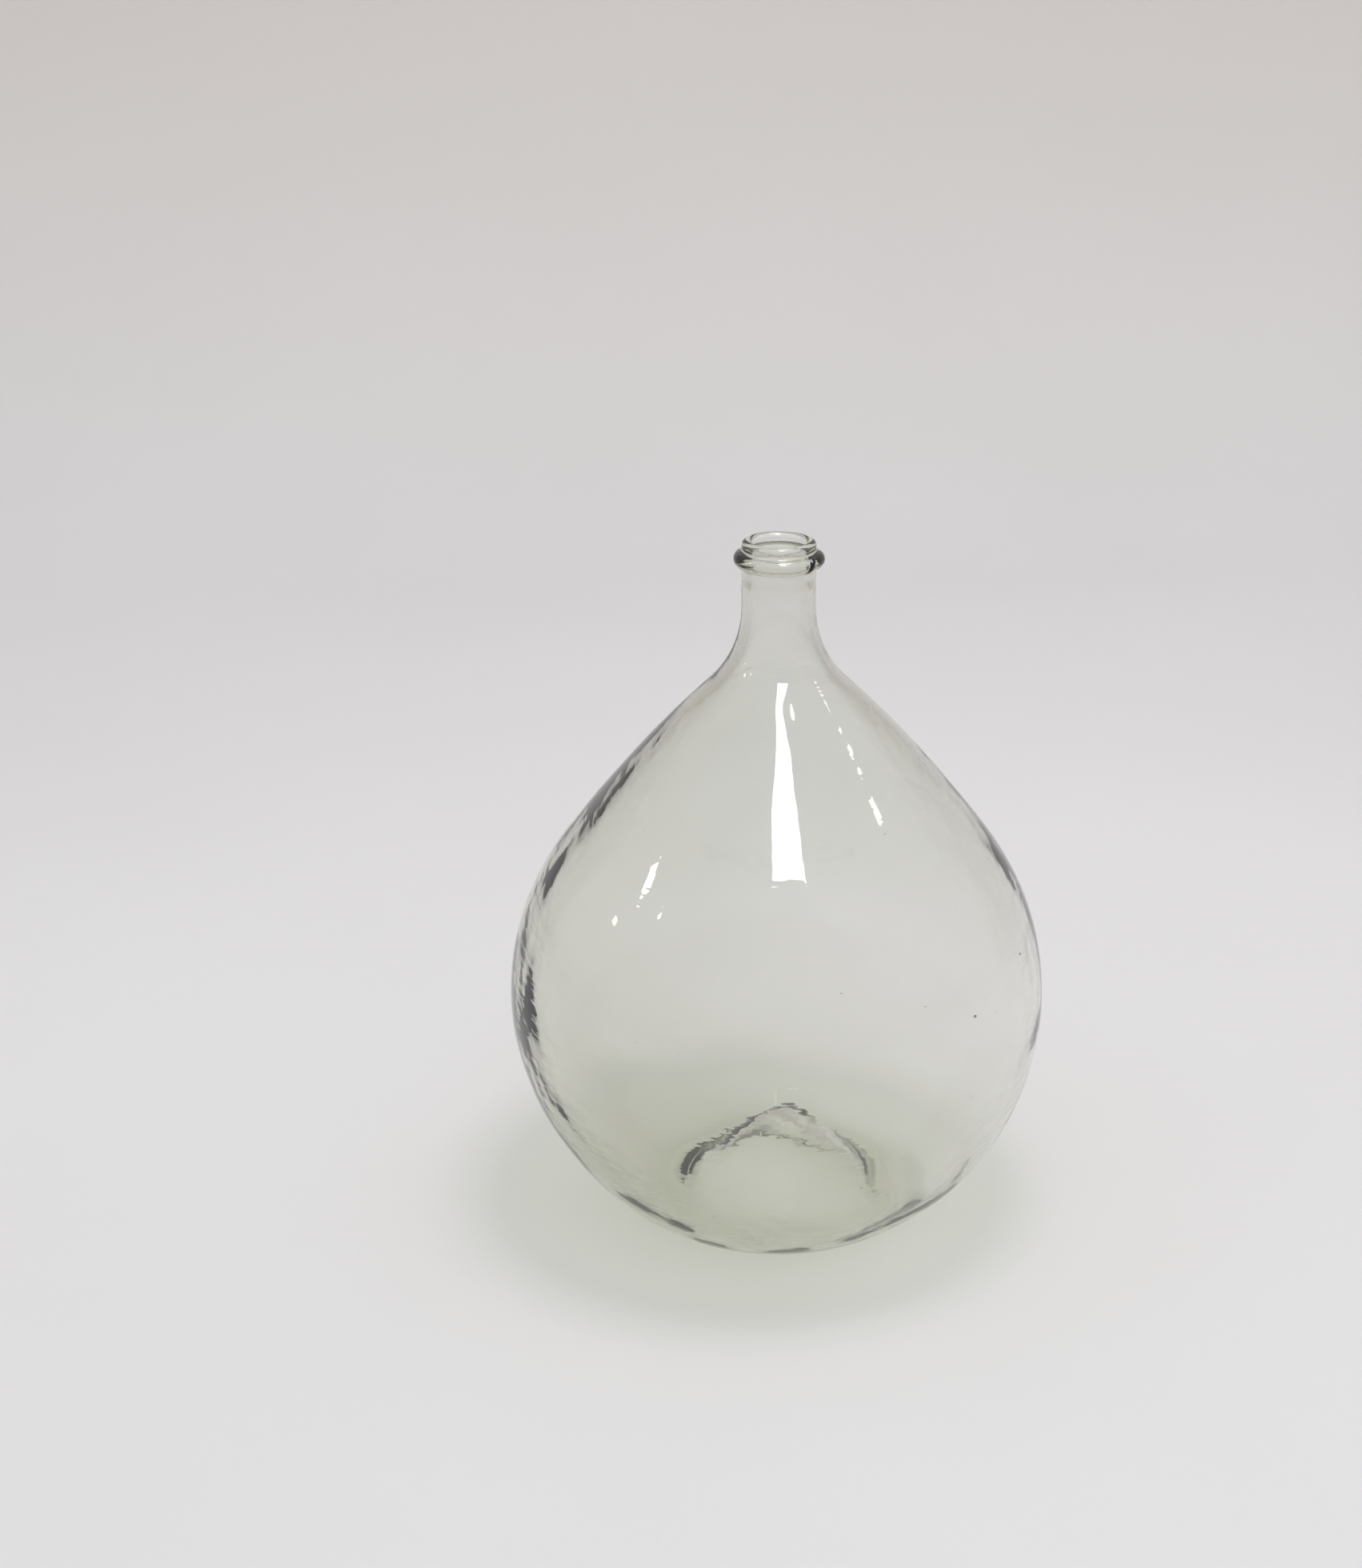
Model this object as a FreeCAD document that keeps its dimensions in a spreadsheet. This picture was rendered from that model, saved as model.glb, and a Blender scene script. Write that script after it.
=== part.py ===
"""Glass demijohn (carboy): an onion-shaped blown vessel and the glass ring fused round its neck.

Frame: millimetres, +Z up, the origin at the centre of the ring that the vessel stands on,
-Y towards the front, +X to the right. The vessel is one blown piece of glass: a round body, a long
shoulder, a short neck with a rounded lip, and a base pushed up inside (the kick-up). Its cavity
hangs from the throat on an axis that leans a little, so the wall is thick on the left and thin on
the right, as in hand-blown glass. The neck ring is a trail of glass wound once round the neck.
"""
import FreeCAD, Part
import math
import os
import Sketcher

V = FreeCAD.Vector

doc = FreeCAD.newDocument("Demijohn")

# ---------------------------------------------------------------------------------------------
# Driving dimensions, in millimetres and degrees: alias, value, meaning
# ---------------------------------------------------------------------------------------------
SIZES = [
    ("body_radius", 175.0, "outside radius of the round body"),
    ("rest_radius", 78.0, "outer radius of the flat ring that the vessel stands on"),
    ("rest_width", 4.0, "width of that flat ring"),
    ("heel_radius", 30.0, "rounding from the flat ring out to the body"),
    ("foot_radius", 18.0, "rounding from the flat ring in to the kick-up"),
    ("kick_height", 52.5, "height of the kick-up above the floor"),
    ("kick_crown", 22.0, "radius of the kick-up's rounded top"),
    ("shoulder_angle", 36.3, "angle above the body's centre where the shoulder leaves it"),
    ("shoulder_radius", 777.0, "radius of the long, nearly straight shoulder"),
    ("flare_radius", 68.0, "radius of the hollow curve from the shoulder to the neck"),
    ("neck_radius", 23.3, "outside radius of the neck"),
    ("neck_length", 39.8, "straight neck, from the flare to the centre of the lip's rounding"),
    ("throat_radius", 17.0, "bore at the mouth, where a bung fits"),
    ("throat_length", 24.0, "length of that bore below the lip's rounding"),
    ("cavity_neck", 18.0, "inside radius of the neck below the throat"),
    ("wall", 5.8, "mean wall of the body and shoulder"),
    ("base_wall", 5.0, "glass over the kick-up"),
    ("heel_wall", 8.0, "glass between the cavity's lowest ring and the floor"),
    ("cavity_heel", 33.0, "rounding of the cavity where its floor meets its side"),
    ("cavity_lean", 0.55, "lean of the cavity's axis towards the right"),
    ("ring_drop", 12.0, "from the top of the lip down to the middle of the neck ring"),
    ("ring_bead", 4.9, "radius of the neck ring's half-round bead"),
    ("ring_stand", 5.35, "how far the neck ring stands out from the neck"),
    ("seam_azimuth", -48.0, "where the ring's two ends meet: 0 is +X, -90 is the front"),
    ("seam_gap", 1.2, "angle of the nick left between the ring's two ends"),
]

sheet = doc.addObject("Spreadsheet::Sheet", "Sizes")
for row, (alias, value, meaning) in enumerate(SIZES, start=1):
    sheet.set("A%d" % row, alias)
    sheet.set("B%d" % row, str(value))
    sheet.setAlias("B%d" % row, alias)
    sheet.set("C%d" % row, meaning)
doc.recompute()


def size(alias):
    """The value of one cell."""
    return float(getattr(sheet, alias))


# ---------------------------------------------------------------------------------------------
# Sketch helpers
# ---------------------------------------------------------------------------------------------
START, END, CENTRE = 1, 2, 3
HORIZONTAL_AXIS, VERTICAL_AXIS = -1, -2


def new_body(name):
    """A PartDesign body whose label names its file."""
    body = doc.addObject("PartDesign::Body", name)
    body.Label = name
    return body


def new_sketch(body, name, plane_role):
    """A sketch attached to one of the body's own origin planes."""
    plane = next(f for f in body.Origin.OriginFeatures if f.Role == plane_role)
    sketch = body.newObject("Sketcher::SketchObject", name)
    sketch.AttachmentSupport = [(plane, "")]
    sketch.MapMode = "FlatFace"
    return sketch


def polar(centre, radius, angle):
    """The point at an angle in degrees on a circle in the sketch plane."""
    turn = math.radians(angle)
    return V(centre.x + radius * math.cos(turn), centre.y + radius * math.sin(turn), 0)


def add_arc(sketch, centre, radius, start, end):
    """A counter-clockwise arc between two angles in degrees; returns its number."""
    circle = Part.Circle(centre, V(0, 0, 1), radius)
    arc = Part.ArcOfCircle(circle, math.radians(start), math.radians(end))
    return sketch.addGeometry(arc, False)


def add_line(sketch, start, end):
    """A straight line; returns its number."""
    return sketch.addGeometry(Part.LineSegment(start, end), False)


def drawn_value(sketch, kind, places):
    """The value that a dimension has in the geometry as drawn."""
    if kind == "Radius":
        return sketch.Geometry[places[0]].Radius
    points = [sketch.getPoint(*places[i:i + 2]) for i in range(0, len(places), 2)]
    levels = [p.x if kind == "DistanceX" else p.y for p in points]
    return levels[-1] - levels[0] if len(levels) == 2 else levels[0]


def bind(sketch, kind, places, formula):
    """A dimension whose value follows a formula of the sheet's cells."""
    value = drawn_value(sketch, kind, places)
    number = sketch.addConstraint(Sketcher.Constraint(kind, *places, value))
    sketch.setExpression("Constraints[%d]" % number, formula)


def tie(sketch, kind, *places):
    """A constraint without a value."""
    sketch.addConstraint(Sketcher.Constraint(kind, *places))


def crossing_line(low_centre, low_radius, far_centre, far_radius):
    """The line that passes above the first circle and below the second, and its normal's angle."""
    across = far_centre - low_centre
    lift = math.degrees(math.acos((low_radius + far_radius) / across.Length))
    normal = math.degrees(math.atan2(across.y, across.x)) + lift
    return polar(low_centre, low_radius, normal), polar(far_centre, -far_radius, normal), normal


# ---------------------------------------------------------------------------------------------
# Heights worked out from the driving dimensions
# ---------------------------------------------------------------------------------------------
# The body's circle rolls on the heel's, which stands on the rest ring's outer edge
heel_reach = size("body_radius") - size("heel_radius")
mid_height = size("heel_radius") + math.sqrt(heel_reach ** 2 - size("rest_radius") ** 2)
MID_HEIGHT = (
    "(Sizes.heel_radius + sqrt((Sizes.body_radius - Sizes.heel_radius)^2 - Sizes.rest_radius^2))"
)
lip_radius = (size("neck_radius") - size("throat_radius")) / 2
LIP_RADIUS = "((Sizes.neck_radius - Sizes.throat_radius) / 2)"


def shoulder_and_flare(body_centre, body_radius, shoulder_radius, flare_radius, neck_radius):
    """Centres of the shoulder's and the flare's arcs, and the angle where the two meet."""
    shoulder_centre = polar(body_centre, body_radius - shoulder_radius, size("shoulder_angle"))
    flare_x = neck_radius + flare_radius
    reach = shoulder_radius + flare_radius
    rise = math.sqrt(reach ** 2 - (flare_x - shoulder_centre.x) ** 2)
    flare_centre = V(flare_x, shoulder_centre.y + rise, 0)
    meet = math.degrees(math.atan2(rise, flare_x - shoulder_centre.x))
    return shoulder_centre, flare_centre, meet


# ---------------------------------------------------------------------------------------------
# The vessel: outside, cavity, throat
# ---------------------------------------------------------------------------------------------
vessel = new_body("glass_vessel")


def draw_outside(sketch):
    """Half section of the outside, from the kick-up's top round the body to the lip."""
    body_centre = V(0, mid_height, 0)
    shoulder_centre, flare_centre, meet = shoulder_and_flare(
        body_centre, size("body_radius"), size("shoulder_radius"), size("flare_radius"),
        size("neck_radius"))
    crown_centre = V(0, size("kick_height") - size("kick_crown"), 0)
    foot_centre = V(size("rest_radius") - size("rest_width"), size("foot_radius"), 0)
    heel_centre = V(size("rest_radius"), size("heel_radius"), 0)
    kick_top, kick_foot, kick_normal = crossing_line(
        crown_centre, size("kick_crown"), foot_centre, size("foot_radius"))
    heel_angle = math.degrees(math.atan2(heel_centre.y - body_centre.y, heel_centre.x))
    lip_z = flare_centre.y + size("neck_length")
    lip_centre = V(size("neck_radius") - lip_radius, lip_z, 0)

    crown = add_arc(sketch, crown_centre, size("kick_crown"), kick_normal, 90)
    kick = add_line(sketch, kick_top, kick_foot)
    foot = add_arc(sketch, foot_centre, size("foot_radius"), kick_normal + 180, 270)
    rest = add_line(sketch, V(foot_centre.x, 0, 0), V(heel_centre.x, 0, 0))
    heel = add_arc(sketch, heel_centre, size("heel_radius"), -90, heel_angle)
    belly = add_arc(sketch, body_centre, size("body_radius"), heel_angle, size("shoulder_angle"))
    shoulder = add_arc(sketch, shoulder_centre, size("shoulder_radius"),
                       size("shoulder_angle"), meet)
    flare = add_arc(sketch, flare_centre, size("flare_radius"), 180, 180 + meet)
    neck = add_line(sketch, V(size("neck_radius"), flare_centre.y, 0),
                    V(size("neck_radius"), lip_z, 0))
    lip = add_arc(sketch, lip_centre, lip_radius, 0, 180)
    mouth = add_line(sketch, V(size("throat_radius"), lip_z, 0), V(0, lip_z, 0))
    axis = add_line(sketch, V(0, lip_z, 0), V(0, size("kick_height"), 0))

    tie(sketch, "Tangent", crown, START, kick, START)
    tie(sketch, "Tangent", kick, END, foot, START)
    tie(sketch, "Tangent", foot, END, rest, START)
    tie(sketch, "Tangent", rest, END, heel, START)
    tie(sketch, "Tangent", heel, END, belly, START)
    tie(sketch, "Tangent", belly, END, shoulder, START)
    tie(sketch, "Tangent", shoulder, END, flare, END)
    tie(sketch, "Tangent", flare, START, neck, START)
    tie(sketch, "Tangent", neck, END, lip, START)
    tie(sketch, "Coincident", lip, END, mouth, START)
    tie(sketch, "Coincident", mouth, END, axis, START)
    tie(sketch, "Coincident", axis, END, crown, END)
    tie(sketch, "PointOnObject", axis, START, VERTICAL_AXIS)
    tie(sketch, "PointOnObject", axis, END, VERTICAL_AXIS)
    tie(sketch, "PointOnObject", crown, CENTRE, VERTICAL_AXIS)
    tie(sketch, "PointOnObject", belly, CENTRE, VERTICAL_AXIS)
    tie(sketch, "PointOnObject", rest, START, HORIZONTAL_AXIS)
    tie(sketch, "Horizontal", rest)
    tie(sketch, "Vertical", neck)
    tie(sketch, "Horizontal", mouth)
    tie(sketch, "Horizontal", lip, CENTRE, lip, END)
    bind(sketch, "Radius", [crown], "Sizes.kick_crown")
    bind(sketch, "Radius", [foot], "Sizes.foot_radius")
    bind(sketch, "Radius", [heel], "Sizes.heel_radius")
    bind(sketch, "Radius", [belly], "Sizes.body_radius")
    bind(sketch, "Radius", [shoulder], "Sizes.shoulder_radius")
    bind(sketch, "Radius", [flare], "Sizes.flare_radius")
    bind(sketch, "Radius", [lip], LIP_RADIUS)
    bind(sketch, "DistanceY", [crown, END], "Sizes.kick_height")
    bind(sketch, "DistanceX", [rest, START], "Sizes.rest_radius - Sizes.rest_width")
    bind(sketch, "DistanceX", [rest, END], "Sizes.rest_radius")
    bind(sketch, "DistanceY", [belly, CENTRE, belly, END],
         "Sizes.body_radius * sin(Sizes.shoulder_angle * 1 deg)")
    bind(sketch, "DistanceX", [neck, START], "Sizes.neck_radius")
    bind(sketch, "DistanceY", [neck, START, neck, END], "Sizes.neck_length")
    # Driven: the height of the lip's centre, which the throat, cavity and ring hang from
    reference = sketch.addConstraint(Sketcher.Constraint("DistanceY", neck, END, lip_z))
    sketch.setDriving(reference, False)
    sketch.renameConstraint(reference, "lip_level")
    return lip_z


LIP_LEVEL = "(VesselOutline.Constraints.lip_level / 1 mm)"
outline = new_sketch(vessel, "VesselOutline", "XZ_Plane")
lip_level = draw_outside(outline)
doc.recompute()

solid = vessel.newObject("PartDesign::Revolution", "VesselSolid")
solid.Profile = outline
solid.ReferenceAxis = (outline, ["V_Axis"])
solid.Angle = 360
doc.recompute()
outside_volume = vessel.Shape.Volume

throat = new_sketch(vessel, "ThroatCircle", "XY_Plane")
throat_hole = throat.addGeometry(Part.Circle(V(0, 0, 0), V(0, 0, 1), size("throat_radius")), False)
tie(throat, "Coincident", throat_hole, CENTRE, HORIZONTAL_AXIS, START)
bind(throat, "Radius", [throat_hole], "Sizes.throat_radius")
throat.setExpression(".AttachmentOffset.Base.z", LIP_LEVEL)
doc.recompute()

throat_cut = vessel.newObject("PartDesign::Pocket", "Throat")
throat_cut.Profile = throat
throat_cut.Type = "Length"
throat_cut.setExpression("Length", "Sizes.throat_length")
doc.recompute()
drilled_volume = vessel.Shape.Volume

# The cavity's own frame hangs from the foot of the throat and leans about it
THROAT_FOOT = LIP_LEVEL + " - Sizes.throat_length"
CAVITY_MID = THROAT_FOOT + " - " + MID_HEIGHT
CAVITY_KICK = THROAT_FOOT + " - Sizes.kick_height + Sizes.kick_crown"
CAVITY_HEEL = THROAT_FOOT + " - Sizes.heel_wall - Sizes.cavity_heel"


def draw_cavity(sketch):
    """Half section of the cavity, measured down from the foot of the throat."""
    throat_foot = lip_level - size("throat_length")
    inner_radius = size("body_radius") - size("wall")
    body_centre = V(0, mid_height - throat_foot, 0)
    shoulder_centre, flare_centre, meet = shoulder_and_flare(
        body_centre, inner_radius, size("shoulder_radius") - size("wall"),
        size("flare_radius") + size("wall"), size("cavity_neck"))
    crown_centre = V(0, size("kick_height") - size("kick_crown") - throat_foot, 0)
    crown_radius = size("kick_crown") + size("base_wall")
    heel_y = size("heel_wall") + size("cavity_heel") - throat_foot
    heel_reach_in = inner_radius - size("cavity_heel")
    heel_centre = V(math.sqrt(heel_reach_in ** 2 - (body_centre.y - heel_y) ** 2), heel_y, 0)
    mound_top, mound_foot, mound_normal = crossing_line(
        crown_centre, crown_radius, heel_centre, size("cavity_heel"))
    heel_angle = math.degrees(math.atan2(heel_y - body_centre.y, heel_centre.x))

    crown = add_arc(sketch, crown_centre, crown_radius, mound_normal, 90)
    mound = add_line(sketch, mound_top, mound_foot)
    heel = add_arc(sketch, heel_centre, size("cavity_heel"), mound_normal - 180, heel_angle)
    belly = add_arc(sketch, body_centre, inner_radius, heel_angle, size("shoulder_angle"))
    shoulder = add_arc(sketch, shoulder_centre, size("shoulder_radius") - size("wall"),
                       size("shoulder_angle"), meet)
    flare = add_arc(sketch, flare_centre, size("flare_radius") + size("wall"), 180, 180 + meet)
    neck = add_line(sketch, V(size("cavity_neck"), flare_centre.y, 0),
                    V(size("cavity_neck"), 0, 0))
    ledge = add_line(sketch, V(size("cavity_neck"), 0, 0), V(0, 0, 0))
    axis = add_line(sketch, V(0, 0, 0), V(0, crown_centre.y + crown_radius, 0))

    tie(sketch, "Tangent", crown, START, mound, START)
    tie(sketch, "Tangent", mound, END, heel, START)
    tie(sketch, "Tangent", heel, END, belly, START)
    tie(sketch, "Tangent", belly, END, shoulder, START)
    tie(sketch, "Tangent", shoulder, END, flare, END)
    tie(sketch, "Tangent", flare, START, neck, START)
    tie(sketch, "Coincident", neck, END, ledge, START)
    tie(sketch, "Coincident", ledge, END, axis, START)
    tie(sketch, "Coincident", axis, START, HORIZONTAL_AXIS, START)
    tie(sketch, "Coincident", axis, END, crown, END)
    tie(sketch, "PointOnObject", axis, END, VERTICAL_AXIS)
    tie(sketch, "PointOnObject", crown, CENTRE, VERTICAL_AXIS)
    tie(sketch, "PointOnObject", belly, CENTRE, VERTICAL_AXIS)
    tie(sketch, "Vertical", neck)
    tie(sketch, "Horizontal", ledge)
    bind(sketch, "Radius", [crown], "Sizes.kick_crown + Sizes.base_wall")
    bind(sketch, "Radius", [heel], "Sizes.cavity_heel")
    bind(sketch, "Radius", [belly], "Sizes.body_radius - Sizes.wall")
    bind(sketch, "Radius", [shoulder], "Sizes.shoulder_radius - Sizes.wall")
    bind(sketch, "Radius", [flare], "Sizes.flare_radius + Sizes.wall")
    bind(sketch, "DistanceX", [neck, END], "Sizes.cavity_neck")
    bind(sketch, "DistanceY", [belly, CENTRE, axis, START], CAVITY_MID)
    bind(sketch, "DistanceY", [crown, CENTRE, axis, START], CAVITY_KICK)
    bind(sketch, "DistanceY", [heel, CENTRE, axis, START], CAVITY_HEEL)
    bind(sketch, "DistanceY", [belly, CENTRE, belly, END],
         "(Sizes.body_radius - Sizes.wall) * sin(Sizes.shoulder_angle * 1 deg)")


cavity = new_sketch(vessel, "CavityOutline", "XZ_Plane")
cavity.AttachmentOffset = FreeCAD.Placement(
    V(0, lip_level - size("throat_length"), 0),
    FreeCAD.Rotation(V(0, 0, 1), size("cavity_lean")))
cavity.setExpression(".AttachmentOffset.Base.y", THROAT_FOOT)
cavity.setExpression(".AttachmentOffset.Rotation.Angle", "Sizes.cavity_lean * 1 deg")
draw_cavity(cavity)
doc.recompute()

hollow = vessel.newObject("PartDesign::Groove", "Cavity")
hollow.Profile = cavity
hollow.ReferenceAxis = (cavity, ["V_Axis"])
hollow.Angle = 360
doc.recompute()

# ---------------------------------------------------------------------------------------------
# The neck ring: a half-round bead on the neck, wound once round, with a nick where its ends meet
# ---------------------------------------------------------------------------------------------
ring = new_body("neck_ring")
bead = new_sketch(ring, "BeadSection", "XZ_Plane")


def draw_bead(sketch):
    """Half-round section that sits flat on the neck; its level follows the lip."""
    level = lip_level + lip_radius - size("ring_drop")
    centre = V(size("neck_radius") + size("ring_stand") - size("ring_bead"), level, 0)
    half_seat = math.sqrt(size("ring_bead") ** 2 - (centre.x - size("neck_radius")) ** 2)
    edge = math.degrees(math.atan2(half_seat, size("neck_radius") - centre.x))
    face = add_arc(sketch, centre, size("ring_bead"), -edge, edge)
    seat = add_line(sketch, V(size("neck_radius"), level + half_seat, 0),
                    V(size("neck_radius"), level - half_seat, 0))
    tie(sketch, "Coincident", face, END, seat, START)
    tie(sketch, "Coincident", seat, END, face, START)
    tie(sketch, "Vertical", seat)
    bind(sketch, "Radius", [face], "Sizes.ring_bead")
    bind(sketch, "DistanceX", [seat, START], "Sizes.neck_radius")
    bind(sketch, "DistanceX", [face, CENTRE],
         "Sizes.neck_radius + Sizes.ring_stand - Sizes.ring_bead")
    bind(sketch, "DistanceY", [face, CENTRE],
         LIP_LEVEL + " + " + LIP_RADIUS + " - Sizes.ring_drop")


# The winding is centred opposite the seam, so that the nick falls on it
bead.AttachmentOffset = FreeCAD.Placement(
    V(0, 0, 0), FreeCAD.Rotation(V(0, 1, 0), size("seam_azimuth") + 180))
bead.setExpression(".AttachmentOffset.Rotation.Angle", "(Sizes.seam_azimuth + 180) * 1 deg")
draw_bead(bead)
doc.recompute()

winding = ring.newObject("PartDesign::Revolution", "Winding")
winding.Profile = bead
winding.ReferenceAxis = (bead, ["V_Axis"])
winding.Midplane = True
winding.setExpression("Angle", "360 - Sizes.seam_gap")
doc.recompute()

# ---------------------------------------------------------------------------------------------
# Checks, then the files
# ---------------------------------------------------------------------------------------------
for item in doc.Objects:
    if "Invalid" in item.State or "Error" in item.State:
        raise RuntimeError("%s did not compute: %s" % (item.Name, item.State))
for sketch in (outline, throat, cavity, bead):
    if sketch.solve() != 0 or not sketch.FullyConstrained:
        raise RuntimeError("%s is not fully constrained" % sketch.Name)

throat_volume = math.pi * size("throat_radius") ** 2 * size("throat_length")
if abs(outside_volume - drilled_volume - throat_volume) > 1e-3 * throat_volume:
    raise RuntimeError("the throat does not cut downwards")
if vessel.Shape.Volume > 0.5 * drilled_volume:
    raise RuntimeError("the cavity does not cut")

os.makedirs("parts", exist_ok=True)
for node in (vessel, ring):
    shape = node.Shape
    if shape.isNull() or not shape.isValid() or len(shape.Solids) != 1:
        raise RuntimeError("%s is not one valid solid" % node.Label)
    shape.exportStep("parts/%s.step" % node.Label)
    box = shape.optimalBoundingBox()
    print("%s: volume %.0f mm3, z %.2f to %.2f, x %.2f to %.2f"
          % (node.Label, shape.Volume, box.ZMin, box.ZMax, box.XMin, box.XMax))
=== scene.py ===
"""Looks of the glass demijohn: one fused piece of hand-blown glass on a pale floor.

The outline follows the same driving dimensions as the CAD model. The overall width, the height and
the ring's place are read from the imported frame, and the rest are named below, in millimetres.
"""
import math

import bpy
import numpy as np
from mathutils import Matrix, Vector


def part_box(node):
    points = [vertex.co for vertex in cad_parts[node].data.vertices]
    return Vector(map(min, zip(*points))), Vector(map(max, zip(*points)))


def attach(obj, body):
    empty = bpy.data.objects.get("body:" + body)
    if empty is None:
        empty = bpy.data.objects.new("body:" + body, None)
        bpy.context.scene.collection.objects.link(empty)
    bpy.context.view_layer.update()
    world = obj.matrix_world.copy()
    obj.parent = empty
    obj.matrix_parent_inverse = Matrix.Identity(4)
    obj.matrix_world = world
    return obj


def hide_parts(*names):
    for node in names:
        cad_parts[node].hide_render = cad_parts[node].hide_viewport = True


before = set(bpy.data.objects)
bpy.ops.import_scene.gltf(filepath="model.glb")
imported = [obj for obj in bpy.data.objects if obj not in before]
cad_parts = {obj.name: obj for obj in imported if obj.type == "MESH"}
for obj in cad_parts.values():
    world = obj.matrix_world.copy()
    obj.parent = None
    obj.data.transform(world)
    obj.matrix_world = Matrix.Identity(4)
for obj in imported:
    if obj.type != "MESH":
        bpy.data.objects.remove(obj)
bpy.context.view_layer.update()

MM = 0.001
SEED = 20
rng = np.random.default_rng(SEED)

# ---------------------------------------------------------------------------------------------
# Driving dimensions, millimetres and degrees
# ---------------------------------------------------------------------------------------------
vessel_low, vessel_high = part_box("glass_vessel")
ring_low, ring_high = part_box("neck_ring")
BODY_RADIUS = (vessel_high[0] - vessel_low[0]) / 2 / MM
RING_LEVEL = (ring_high[2] + ring_low[2]) / 2 / MM
RING_REACH = (ring_high[0] - ring_low[0]) / 2 / MM
TOP = vessel_high[2] / MM

REST_RADIUS = 78.0
REST_WIDTH = 4.0
HEEL_RADIUS = 30.0
FOOT_RADIUS = 18.0
KICK_HEIGHT = 52.5
KICK_CROWN = 22.0
SHOULDER_ANGLE = 36.3
SHOULDER_RADIUS = 777.0
FLARE_RADIUS = 68.0
NECK_RADIUS = 23.3
THROAT_RADIUS = 17.0
THROAT_LENGTH = 24.0
CAVITY_NECK = 18.0
WALL = 5.8
BASE_WALL = 5.0
HEEL_WALL = 8.0
CAVITY_HEEL = 33.0
CAVITY_LEAN = 0.55
RING_BEAD = 4.9
RING_FILLET = 1.6
SEAM_AZIMUTH = -48.0

LIP_RADIUS = (NECK_RADIUS - THROAT_RADIUS) / 2
LIP_LEVEL = TOP - LIP_RADIUS
THROAT_FOOT = LIP_LEVEL - THROAT_LENGTH
MID_HEIGHT = HEEL_RADIUS + math.sqrt((BODY_RADIUS - HEEL_RADIUS) ** 2 - REST_RADIUS ** 2)


# ---------------------------------------------------------------------------------------------
# Camera
# ---------------------------------------------------------------------------------------------
def add_camera():
    """A phone's view from above the vessel's top, looking down and a little from the left."""
    pitch, roll = math.radians(20.6), -0.0067
    data = bpy.data.cameras.new("camera")
    data.lens = 55.65
    data.sensor_width = 36.0
    data.clip_end = 50.0
    camera = bpy.data.objects.new("camera", data)
    bpy.context.collection.objects.link(camera)
    right = Vector((1, 0, 0))
    ahead = Vector((0, math.cos(pitch), -math.sin(pitch)))
    up = right.cross(ahead)
    turned_right = math.cos(roll) * right + math.sin(roll) * up
    turned_up = math.cos(roll) * up - math.sin(roll) * right
    frame_axes = Matrix((turned_right, turned_up, -ahead)).transposed()
    above_middle = 0.691
    place = (-0.0617, -1.457, MID_HEIGHT * MM + above_middle)
    camera.matrix_world = Matrix.Translation(place) @ frame_axes.to_4x4()
    bpy.context.scene.camera = camera


# ---------------------------------------------------------------------------------------------
# Outline of the glass: (radius, height) points in millimetres
# ---------------------------------------------------------------------------------------------
def arc(centre, radius, start, end, count):
    """Points round an arc, angles in degrees."""
    turn = np.radians(np.linspace(start, end, count))
    return np.column_stack([centre[0] + radius * np.cos(turn), centre[1] + radius * np.sin(turn)])


def line(start, end, count):
    """Points along a straight line."""
    share = np.linspace(0, 1, count)[:, None]
    return np.asarray(start) * (1 - share) + np.asarray(end) * share


def on_circle(centre, radius, angle):
    """The point at an angle in degrees on a circle."""
    return arc(centre, radius, angle, angle, 1)[0]


def crossing_line(low_centre, low_radius, far_centre, far_radius):
    """The line above the first circle and below the second: its ends and its normal's angle."""
    across = np.subtract(far_centre, low_centre)
    lift = math.degrees(math.acos((low_radius + far_radius) / np.linalg.norm(across)))
    normal = math.degrees(math.atan2(across[1], across[0])) + lift
    return (on_circle(low_centre, low_radius, normal),
            on_circle(far_centre, -far_radius, normal), normal)


def body_side(radius, shoulder_radius, flare_radius, neck_radius, heel_angle, counts):
    """Belly, shoulder and flare, from the heel up to the foot of the neck."""
    middle = (0.0, MID_HEIGHT)
    shoulder = on_circle(middle, radius - shoulder_radius, SHOULDER_ANGLE)
    flare_x = neck_radius + flare_radius
    reach = shoulder_radius + flare_radius
    rise = math.sqrt(reach ** 2 - (flare_x - shoulder[0]) ** 2)
    meet = math.degrees(math.atan2(rise, flare_x - shoulder[0]))
    flare = (flare_x, shoulder[1] + rise)
    return np.vstack([
        arc(middle, radius, heel_angle, SHOULDER_ANGLE, counts[0]),
        arc(shoulder, shoulder_radius, SHOULDER_ANGLE, meet, counts[1])[1:],
        arc(flare, flare_radius, 180 + meet, 180, counts[2])[1:],
    ])


def outside_outline():
    """From the top of the kick-up, under the foot and up the outside to the foot of the neck."""
    crown = (0.0, KICK_HEIGHT - KICK_CROWN)
    foot = (REST_RADIUS - REST_WIDTH, FOOT_RADIUS)
    heel = (REST_RADIUS, HEEL_RADIUS)
    kick_top, kick_foot, normal = crossing_line(crown, KICK_CROWN, foot, FOOT_RADIUS)
    heel_angle = math.degrees(math.atan2(heel[1] - MID_HEIGHT, heel[0]))
    return np.vstack([
        arc(crown, KICK_CROWN, 90, normal, 8),
        line(kick_top, kick_foot, 14)[1:],
        arc(foot, FOOT_RADIUS, normal + 180, 270, 7)[1:],
        line((foot[0], 0), (heel[0], 0), 3)[1:],
        arc(heel, HEEL_RADIUS, -90, heel_angle, 6)[1:],
        body_side(BODY_RADIUS, SHOULDER_RADIUS, FLARE_RADIUS, NECK_RADIUS, heel_angle,
                  (86, 44, 18))[1:],
    ])


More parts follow.
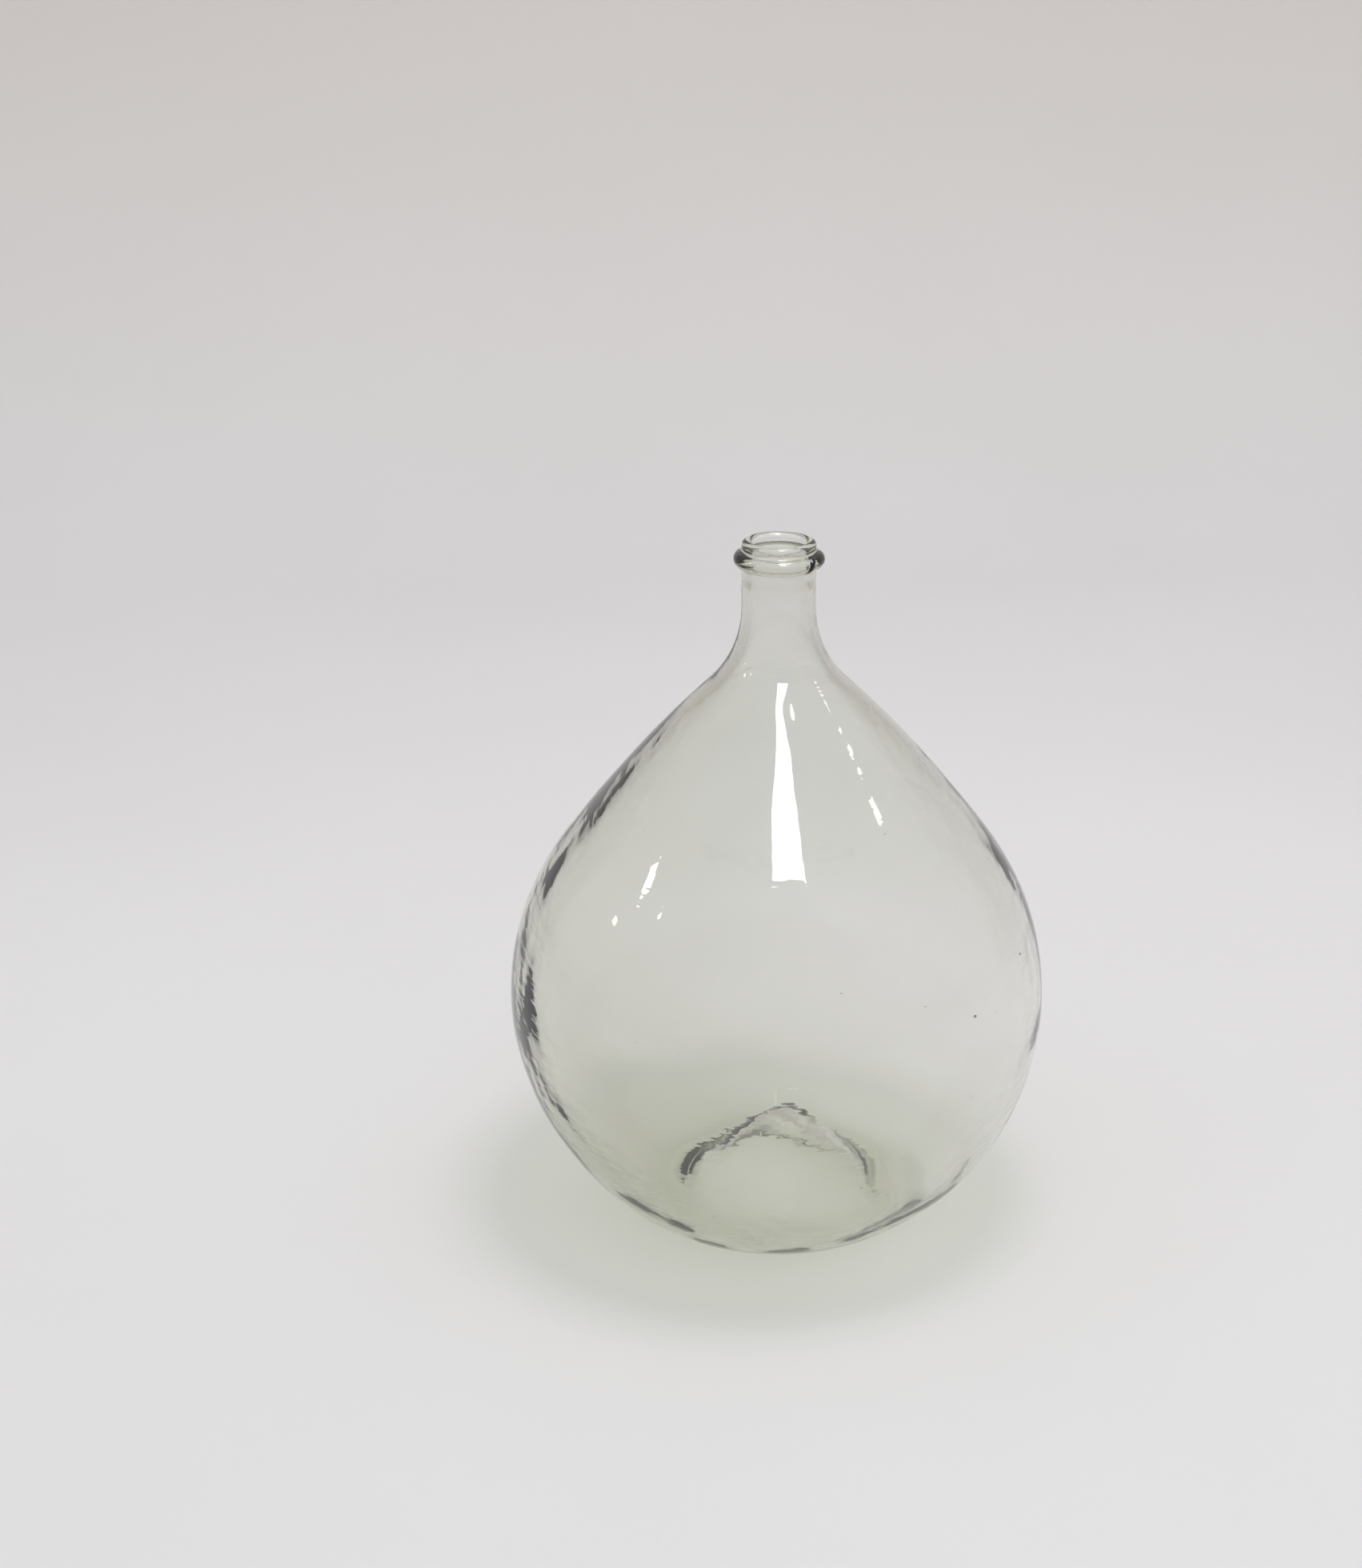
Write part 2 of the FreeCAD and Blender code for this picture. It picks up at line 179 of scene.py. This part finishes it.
def ring_outline():
    """The neck ring as a bulge of the neck, with a hollow fillet above and below it."""
    bead = (RING_REACH - RING_BEAD, RING_LEVEL)
    side = NECK_RADIUS + RING_FILLET - bead[0]
    spread = math.sqrt((RING_BEAD + RING_FILLET) ** 2 - side ** 2)
    touch = math.degrees(math.atan2(spread, side))
    below = (NECK_RADIUS + RING_FILLET, RING_LEVEL - spread)
    above = (NECK_RADIUS + RING_FILLET, RING_LEVEL + spread)
    return np.vstack([
        arc(below, RING_FILLET, 180, 180 - touch, 5),
        arc(bead, RING_BEAD, -touch, touch, 22)[1:],
        arc(above, RING_FILLET, touch - 180, -180, 5)[1:],
    ])


def inside_outline():
    """From the throat down the cavity to the top of the mound over the kick-up."""
    crown = (0.0, KICK_HEIGHT - KICK_CROWN)
    radius = BODY_RADIUS - WALL
    heel_y = HEEL_WALL + CAVITY_HEEL
    heel_x = math.sqrt((radius - CAVITY_HEEL) ** 2 - (MID_HEIGHT - heel_y) ** 2)
    mound_top, mound_foot, normal = crossing_line(
        crown, KICK_CROWN + BASE_WALL, (heel_x, heel_y), CAVITY_HEEL)
    heel_angle = math.degrees(math.atan2(heel_y - MID_HEIGHT, heel_x))
    side = body_side(radius, SHOULDER_RADIUS - WALL, FLARE_RADIUS + WALL, CAVITY_NECK, heel_angle,
                     (64, 34, 14))
    return np.vstack([
        line((CAVITY_NECK, THROAT_FOOT - 1.2), side[-1], 7),
        side[::-1][1:],
        arc((heel_x, heel_y), CAVITY_HEEL, heel_angle, normal - 180, 12)[1:],
        line(mound_foot, mound_top, 18)[1:],
        arc(crown, KICK_CROWN + BASE_WALL, normal, 90, 12)[1:],
    ])


def whole_outline():
    """All the rows from the kick-up's top to the mound's top, and where the inside starts."""
    outside = outside_outline()
    ring = ring_outline()
    lip = (NECK_RADIUS - LIP_RADIUS, LIP_LEVEL)
    rows = np.vstack([
        outside,
        line(outside[-1], ring[0], 10)[1:-1],
        ring,
        line(ring[-1], (NECK_RADIUS, LIP_LEVEL), 4)[1:-1],
        arc(lip, LIP_RADIUS, 0, 180, 20),
        line((THROAT_RADIUS, LIP_LEVEL), (THROAT_RADIUS, THROAT_FOOT + 1.0), 9)[1:],
    ])
    return np.vstack([rows, inside_outline()]), len(rows)


# ---------------------------------------------------------------------------------------------
# Hand-made unevenness
# ---------------------------------------------------------------------------------------------
def wave_field(shortest, longest, count=26):
    """Smooth unevenness of about -1 to 1 at any points, from waves of random heading."""
    heading = rng.normal(size=(count, 3))
    heading /= np.linalg.norm(heading, axis=1)[:, None]
    pitch = 2 * math.pi / rng.uniform(shortest, longest, count)
    phase = rng.uniform(0, 2 * math.pi, count)

    def at(points):
        total = np.zeros(points.shape[:-1])
        for heads, rate, start in zip(heading, pitch, phase):
            total += np.sin((points @ heads) * rate + start)
        return total / math.sqrt(count / 2)

    return at


def waves(points, shortest, longest):
    """A fresh field at these points."""
    return wave_field(shortest, longest)(points)


SHARED_BROAD = wave_field(170, 380)
SHARED_MIDDLE = wave_field(40, 90)


def ramp(values, low, high):
    """0 below low, 1 above high, smooth between."""
    share = np.clip((values - low) / (high - low), 0, 1)
    return share * share * (3 - 2 * share)


def hump(values, middle, width):
    """A bell of height 1."""
    return np.exp(-((values - middle) / width) ** 2)


def angle_from(azimuth, centre):
    """Signed angle in degrees from a centre azimuth."""
    return (azimuth - centre + 180) % 360 - 180


def off_the_mound(points, height):
    """1 on the wall of the vessel, 0 on the kick-up and the mound over it."""
    radius = np.hypot(points[..., 0], points[..., 1])
    return np.maximum(ramp(radius, 72, 112), ramp(height, 62, 90))


def blown_shape(points, azimuth, height):
    """Millimetres outwards that both skins of the wall share: how far the blow was from round."""
    flat_side = -0.8 * hump(height, 272, 75) * (1 + 0.8 * np.cos(np.radians(azimuth - 180)))
    heel_sag = -1.5 * hump(height, 62, 45) * (0.4 - 0.6 * np.cos(np.radians(azimuth)))
    broad = 0.5 * SHARED_BROAD(points) * ramp(height, 6, 60) * (1 - ramp(height, 330, 420))
    wall = off_the_mound(points, height) * ramp(height, 6, 30)
    return (flat_side + heel_sag + broad + 0.08 * SHARED_MIDDLE(points)) * wall


def outside_unevenness(points, azimuth, height):
    """Millimetres along the normal on the outer side."""
    middle = 0.045 * waves(points, 40, 90)
    fine = 0.010 * waves(points, 13, 26)
    return blown_shape(points, azimuth, height) + (middle + fine) * ramp(height, 0.5, 8)


def ring_unevenness(azimuth, section):
    """The ring's trail swells, thins and has its lapped ends at the seam."""
    away = angle_from(azimuth, SEAM_AZIMUTH)
    swell = 0.25 * np.cos(np.radians(2 * azimuth + 40)) + 0.16 * np.cos(np.radians(5 * azimuth))
    lean = away - 0.9 * (section - 0.5) * 10
    nick = -1.5 * hump(lean, 0, 1.5)
    lap = 0.55 * hump(lean, 6, 5) - 0.35 * hump(lean, -7, 6)
    return (swell - 0.3 + nick + lap) * np.sin(np.pi * section)


def extra_glass(points, azimuth, height):
    """Millimetres by which the wall is thicker than its mean, all of it on the cavity's side."""
    wall = off_the_mound(points, height)
    low_left = hump(angle_from(azimuth, 215), 0, 75)
    neck = ramp(height, 350, 400)
    broad = 0.5 * waves(points, 130, 300) * (1 - neck) * (0.3 + 0.7 * wall)
    middle = 0.13 * waves(points, 34, 80) * (1 - 0.6 * neck)
    fine = 0.030 * waves(points, 10, 24)
    heel = 0.30 * waves(points, 24, 70) * hump(height, 24, 26) * (0.35 + low_left) * wall
    flutes = 0.07 * np.cos(np.radians(9 * azimuth + 30)) * neck
    thick_left = 0.6 * hump(height, 70, 95) * low_left * wall
    return broad + middle + fine + heel + flutes + thick_left


def lumps(points):
    """Set drips and folds on the cavity's floor: (x, y, width, height), in millimetres."""
    total = np.zeros(points.shape[:-1])
    for x, y, width, rise in ((-64, -52, 5, 1.3), (-57, -58, 4, 0.8), (-30, 14, 18, 0.5),
                              (24, 6, 20, 0.5)):
        away = np.hypot(points[..., 0] - x, points[..., 1] - y)
        total += rise * hump(away, 0, width)
    return total * (1 - ramp(points[..., 2], 70, 90))


# ---------------------------------------------------------------------------------------------
# The mesh
# ---------------------------------------------------------------------------------------------
COLUMNS = 240        # 197 600 triangles in all; the export decimates past 200 000
SEED_COUNT = 70


def row_normals(rows):
    """Outward normals of the outline, with the glass on the left of its direction of travel."""
    along = np.gradient(rows, axis=0)
    along /= np.linalg.norm(along, axis=1)[:, None]
    return np.column_stack([along[:, 1], -along[:, 0]])


def glass_points():
    """Grid of points, rows by columns by xyz, in millimetres."""
    rows, first_inside = whole_outline()
    normals = row_normals(rows)
    azimuth = np.linspace(0, 360, COLUMNS, endpoint=False)
    turn = np.radians(azimuth)
    spin = np.stack([np.cos(turn), np.sin(turn)], axis=-1)

    def spun(pairs):
        flat = pairs[:, None, 0, None] * spin[None]
        up = np.broadcast_to(pairs[:, None, 1, None], flat.shape[:2] + (1,))
        return np.concatenate([flat, up], axis=-1)

    points, facing = spun(rows), spun(normals)
    around = np.broadcast_to(azimuth, points.shape[:2])
    height = points[..., 2]
    inner = np.zeros(len(rows), bool)
    inner[first_inside:] = True

    # Each skin's normal leaves the glass, so the cavity's skin follows the shape backwards
    shift = np.where(
        inner[:, None],
        extra_glass(points, around, height) + lumps(points) - blown_shape(points, around, height),
        outside_unevenness(points, around, height))
    on_ring = ((rows[:, 0] > NECK_RADIUS + 0.01) & (rows[:, 1] > RING_LEVEL - RING_BEAD - 3)
               & (rows[:, 1] < RING_LEVEL + RING_BEAD + 3) & ~inner)
    ring_rows = np.flatnonzero(on_ring)
    section = np.zeros(len(rows))
    section[ring_rows] = np.linspace(0, 1, len(ring_rows))
    shift += ring_unevenness(around, section[:, None]) * on_ring[:, None]
    points = points + facing * shift[..., None]

    # The cavity hangs from the throat on an axis that leans to the right
    drop = THROAT_FOOT - points[..., 2]
    lean = math.tan(math.radians(CAVITY_LEAN)) * drop
    points[..., 0] += np.where(inner[:, None], lean, 0)
    return points


def bubble(centre, along, radius, stretch, first):
    """One seed of air: its points and its faces, which face the air inside it."""
    rings, sides = 5, 10
    along = Vector(along).normalized()
    across = along.orthogonal().normalized()
    other = along.cross(across)
    points = [Vector(centre) + along * radius * stretch]
    for i in range(1, rings):
        tilt = math.pi * i / rings
        for j in range(sides):
            turn = 2 * math.pi * j / sides
            side = math.cos(turn) * across + math.sin(turn) * other
            points.append(Vector(centre) + along * radius * stretch * math.cos(tilt)
                          + side * radius * math.sin(tilt))
    points.append(Vector(centre) - along * radius * stretch)
    last = first + len(points) - 1
    faces = []
    for j in range(sides):
        k = (j + 1) % sides
        faces.append((first, first + 1 + k, first + 1 + j))
        for i in range(rings - 2):
            a, b = first + 1 + i * sides, first + 1 + (i + 1) * sides
            faces.append((a + j, a + k, b + k, b + j))
        a = first + 1 + (rings - 2) * sides
        faces.append((a + j, a + k, last))
    return points, faces


def seed_places(count):
    """Seeds of air as azimuth and elevation about the body's centre, and radius in millimetres."""
    places = []
    for _ in range(count):
        azimuth = rng.uniform(0, 2 * math.pi)
        elevation = math.radians(rng.uniform(-48, 34))
        radius = rng.choice([0.25, 0.35, 0.5, 0.8], p=[0.4, 0.3, 0.2, 0.1])
        places.append((azimuth, elevation, radius))
    return places


def build_glass():
    """The fused glass as one closed mesh, with seeds of air in its wall."""
    points = glass_points() * MM
    row_count, columns = points.shape[:2]
    verts = [tuple(points[0, :].mean(axis=0))]
    verts += [tuple(p) for p in points[1:-1].reshape(-1, 3)]
    verts.append(tuple(points[-1, :].mean(axis=0)))
    top = len(verts) - 1
    faces = []
    for j in range(columns):
        k = (j + 1) % columns
        faces.append((0, 1 + k, 1 + j))
        for i in range(row_count - 3):
            a, b = 1 + i * columns, 1 + (i + 1) * columns
            faces.append((a + j, a + k, b + k, b + j))
        a = 1 + (row_count - 3) * columns
        faces.append((a + j, a + k, top))
    for azimuth, elevation, radius in seed_places(SEED_COUNT):
        middle = (BODY_RADIUS - WALL / 2 + 0.5 * math.cos(azimuth)) * MM
        centre = (middle * math.cos(elevation) * math.cos(azimuth),
                  middle * math.cos(elevation) * math.sin(azimuth),
                  MID_HEIGHT * MM + middle * math.sin(elevation))
        along = (-math.sin(azimuth), math.cos(azimuth), rng.uniform(-0.6, 0.6))
        seed_points, seed_faces = bubble(
            centre, along, radius * MM, rng.uniform(1.1, 2.0), len(verts))
        verts += [tuple(p) for p in seed_points]
        faces += seed_faces
    mesh = bpy.data.meshes.new("demijohn_glass")
    mesh.from_pydata(verts, [], faces)
    mesh.validate()
    mesh.shade_smooth()
    piece = bpy.data.objects.new("demijohn_glass", mesh)
    bpy.context.collection.objects.link(piece)
    return piece


# ---------------------------------------------------------------------------------------------
# Materials
# ---------------------------------------------------------------------------------------------
def new_material(name):
    """An empty node material and its output."""
    material = bpy.data.materials.new(name)
    material.use_nodes = True
    nodes = material.node_tree.nodes
    nodes.clear()
    return material, nodes, material.node_tree.links, nodes.new("ShaderNodeOutputMaterial")


def noise_at(nodes, links, coordinates, scale, detail, roughness):
    """A noise texture in object space."""
    noise = nodes.new("ShaderNodeTexNoise")
    noise.inputs["Scale"].default_value = scale
    noise.inputs["Detail"].default_value = detail
    noise.inputs["Roughness"].default_value = roughness
    links.new(coordinates, noise.inputs["Vector"])
    return noise.outputs["Fac"]


def glass_material():
    """Pale green glass: clear where it's thin, bottle green where it's thick or seen edge-on."""
    material, nodes, links, output = new_material("blown_glass")
    glass = nodes.new("ShaderNodeBsdfPrincipled")
    glass.inputs["Base Color"].default_value = (1.0, 1.0, 1.0, 1)
    glass.inputs["Transmission Weight"].default_value = 1.0
    glass.inputs["IOR"].default_value = 1.52
    place = nodes.new("ShaderNodeTexCoord").outputs["Object"]

    # Hazy patches where the glass was handled, over a fire-polished gloss
    haze = nodes.new("ShaderNodeMapRange")
    links.new(noise_at(nodes, links, place, 14, 3, 0.6), haze.inputs["Value"])
    haze.inputs["From Min"].default_value = 0.52
    haze.inputs["From Max"].default_value = 0.80
    haze.inputs["To Min"].default_value = 0.0
    haze.inputs["To Max"].default_value = 0.06
    links.new(haze.outputs["Result"], glass.inputs["Roughness"])

    # Ripples and cords too fine for the mesh
    ripple = nodes.new("ShaderNodeBump")
    ripple.inputs["Strength"].default_value = 1.0
    ripple.inputs["Distance"].default_value = 0.00010
    level = nodes.new("ShaderNodeMapping")
    level.inputs["Scale"].default_value = (0.5, 0.5, 1.6)
    links.new(place, level.inputs["Vector"])
    links.new(noise_at(nodes, links, level.outputs["Vector"], 80, 2, 0.5), ripple.inputs["Height"])
    links.new(ripple.outputs["Normal"], glass.inputs["Normal"])

    # Light reaches the floor straight through the wall, less where that is seen edge-on
    through = nodes.new("ShaderNodeBsdfTransparent")
    facing = nodes.new("ShaderNodeLayerWeight")
    facing.inputs["Blend"].default_value = 0.25
    tint = nodes.new("ShaderNodeMix")
    tint.data_type = "RGBA"
    tint.inputs["A"].default_value = (0.984, 0.988, 0.978, 1)
    tint.inputs["B"].default_value = (0.86, 0.88, 0.83, 1)
    links.new(facing.outputs["Facing"], tint.inputs["Factor"])
    links.new(tint.outputs["Result"], through.inputs["Color"])
    path = nodes.new("ShaderNodeLightPath")
    surface = glass.outputs["BSDF"]
    for kind in ("Is Diffuse Ray", "Is Shadow Ray"):
        mix = nodes.new("ShaderNodeMixShader")
        links.new(path.outputs[kind], mix.inputs["Fac"])
        links.new(surface, mix.inputs[1])
        links.new(through.outputs["BSDF"], mix.inputs[2])
        surface = mix.outputs["Shader"]
    links.new(surface, output.inputs["Surface"])

    body = nodes.new("ShaderNodeVolumeAbsorption")
    body.inputs["Color"].default_value = (0.52, 0.55, 0.36, 1)
    body.inputs["Density"].default_value = 26.0
    links.new(body.outputs["Volume"], output.inputs["Volume"])
    return material


def floor_material():
    """Matt pale floor with a faint mottle, and painted shade that makes it darker and warmer up
    the sweep behind.
    """
    material, nodes, links, output = new_material("pale_floor")
    surface = nodes.new("ShaderNodeBsdfPrincipled")
    surface.inputs["Roughness"].default_value = 0.9
    place = nodes.new("ShaderNodeTexCoord").outputs["Object"]
    shade = nodes.new("ShaderNodeMix")
    shade.data_type = "RGBA"
    shade.inputs["A"].default_value = (0.76, 0.745, 0.735, 1)
    shade.inputs["B"].default_value = (0.82, 0.81, 0.81, 1)
    links.new(noise_at(nodes, links, place, 1.6, 4, 0.55), shade.inputs["Factor"])
    # Painted shade: the colour turns darker and warmer with height up the sweep, fully so at 0.9 m
    split = nodes.new("ShaderNodeSeparateXYZ")
    links.new(place, split.inputs["Vector"])
    height = nodes.new("ShaderNodeMapRange")
    links.new(split.outputs["Z"], height.inputs["Value"])
    height.inputs["From Max"].default_value = 0.9
    wall = nodes.new("ShaderNodeMix")
    wall.data_type = "RGBA"
    wall.inputs["B"].default_value = (0.76, 0.715, 0.68, 1)
    links.new(height.outputs["Result"], wall.inputs["Factor"])
    links.new(shade.outputs["Result"], wall.inputs["A"])
    links.new(wall.outputs["Result"], surface.inputs["Base Color"])
    links.new(surface.outputs["BSDF"], output.inputs["Surface"])
    return material


# ---------------------------------------------------------------------------------------------
# Stage and light
# ---------------------------------------------------------------------------------------------
def add_stage(material):
    """A floor that sweeps up behind the vessel."""
    half_width, front, bend, radius, rise = 4.0, -3.0, 1.5, 0.8, 2.2
    section = [(front, 0.0), (0.0, 0.0), (bend, 0.0)]
    for step in range(1, 13):
        turn = math.radians(90 * step / 12)
        section.append((bend + radius * math.sin(turn), radius * (1 - math.cos(turn))))
    section.append((bend + radius, rise))
    verts = [(x, y, z) for y, z in section for x in (-half_width, half_width)]
    faces = [(2 * i, 2 * i + 1, 2 * i + 3, 2 * i + 2) for i in range(len(section) - 1)]
    mesh = bpy.data.meshes.new("floor")
    mesh.from_pydata(verts, [], faces)
    mesh.shade_smooth()
    floor = bpy.data.objects.new("floor", mesh)
    floor.data.materials.append(material)
    bpy.context.collection.objects.link(floor)


LAMP_AIM = 0.27      # height that the lamps point at, metres
LAMP_REACH = 2.2     # from there to each lamp


def direction(azimuth, elevation):
    """Unit vector towards a light; azimuth is from the front towards the right."""
    az, el = math.radians(azimuth), math.radians(elevation)
    return Vector((math.sin(az) * math.cos(el), -math.cos(az) * math.cos(el), math.sin(el)))


def add_light(name, place, facing, size, radiance, colour, roll=0.0):
    """A rectangular light of even radiance, turned to face one way."""
    width, height = size
    data = bpy.data.lights.new(name, "AREA")
    data.shape = "RECTANGLE"
    data.size, data.size_y = width, height
    data.energy = radiance * math.pi * width * height
    data.color = colour
    light = bpy.data.objects.new(name, data)
    turn = (-Vector(facing)).to_track_quat("Z", "Y").to_matrix().to_4x4()
    light.matrix_world = (Matrix.Translation(place) @ turn
                          @ Matrix.Rotation(math.radians(roll), 4, "Z"))
    bpy.context.collection.objects.link(light)
    return light


def add_reflection(name, place, facing, size, radiance, colour, roll=0.0, within=0.4):
    """Two lights in one place that don't light the floor: both show off a skin, one through it."""
    skin = add_light(name, place, facing, size, radiance * (1 - within), colour, roll)
    skin.visible_diffuse = skin.visible_transmission = False
    both = add_light(name + "_within", place, facing, size, radiance * within, colour, roll)
    both.visible_diffuse = False


def lamp_place(azimuth, elevation):
    """Where a lamp hangs round the vessel, and the way it faces."""
    toward = direction(azimuth, elevation)
    return Vector((0, 0, LAMP_AIM)) + toward * LAMP_REACH, -toward


def add_world():
    """A dim room round the stage, lighter overhead."""
    world = bpy.data.worlds.new("room")
    world.use_nodes = True
    nodes, links = world.node_tree.nodes, world.node_tree.links
    nodes.clear()
    output = nodes.new("ShaderNodeOutputWorld")
    background = nodes.new("ShaderNodeBackground")
    background.inputs["Strength"].default_value = 0.95
    place = nodes.new("ShaderNodeTexCoord").outputs["Generated"]
    split = nodes.new("ShaderNodeSeparateXYZ")
    links.new(place, split.inputs["Vector"])
    fade = nodes.new("ShaderNodeValToRGB")
    fade.color_ramp.elements[0].position = 0.0
    fade.color_ramp.elements[0].color = (0.64, 0.61, 0.585, 1)
    fade.color_ramp.elements[1].position = 0.9
    fade.color_ramp.elements[1].color = (0.80, 0.82, 0.86, 1)
    links.new(split.outputs["Z"], fade.inputs["Fac"])
    links.new(fade.outputs["Color"], background.inputs["Color"])
    links.new(background.outputs["Background"], output.inputs["Surface"])
    bpy.context.scene.world = world


def add_lights():
    """A tall window high in front, small lamps at both sides and one soft lamp overhead."""
    day = (0.88, 0.95, 1.0)
    warm = (1.0, 0.96, 0.90)
    add_reflection("window", (0.13, -1.4, 3.9), (0, 1, 0), (0.60, 3.7), 20, day, roll=3)
    for number, share in enumerate((0.0, 0.27, 0.5, 0.72, 1.0)):
        add_reflection("right_lamp_%d" % number, *lamp_place(101 - 17 * share, 49 - 10 * share),
                       (0.13, 0.055), 16, warm, roll=-20)
    add_reflection("left_lamp", *lamp_place(-84, 35), (0.13, 0.13), 22, warm, roll=45)
    add_reflection("left_small_lamp", *lamp_place(-70, 36.5), (0.05, 0.05), 20, warm, roll=45)
    add_reflection("left_low_lamp", *lamp_place(-90, 23.5), (0.10, 0.07), 14, warm)
    overhead = add_light("overhead", *lamp_place(65, 81.5), (0.75, 0.75), 9.5, (1.0, 0.985, 0.97))
    overhead.visible_transmission = False


# ---------------------------------------------------------------------------------------------
bpy.context.scene.view_settings.view_transform = "Standard"
add_camera()
add_world()
add_stage(floor_material())
add_lights()
demijohn = build_glass()
demijohn.data.materials.append(glass_material())
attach(demijohn, "root")
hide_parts("glass_vessel", "neck_ring")
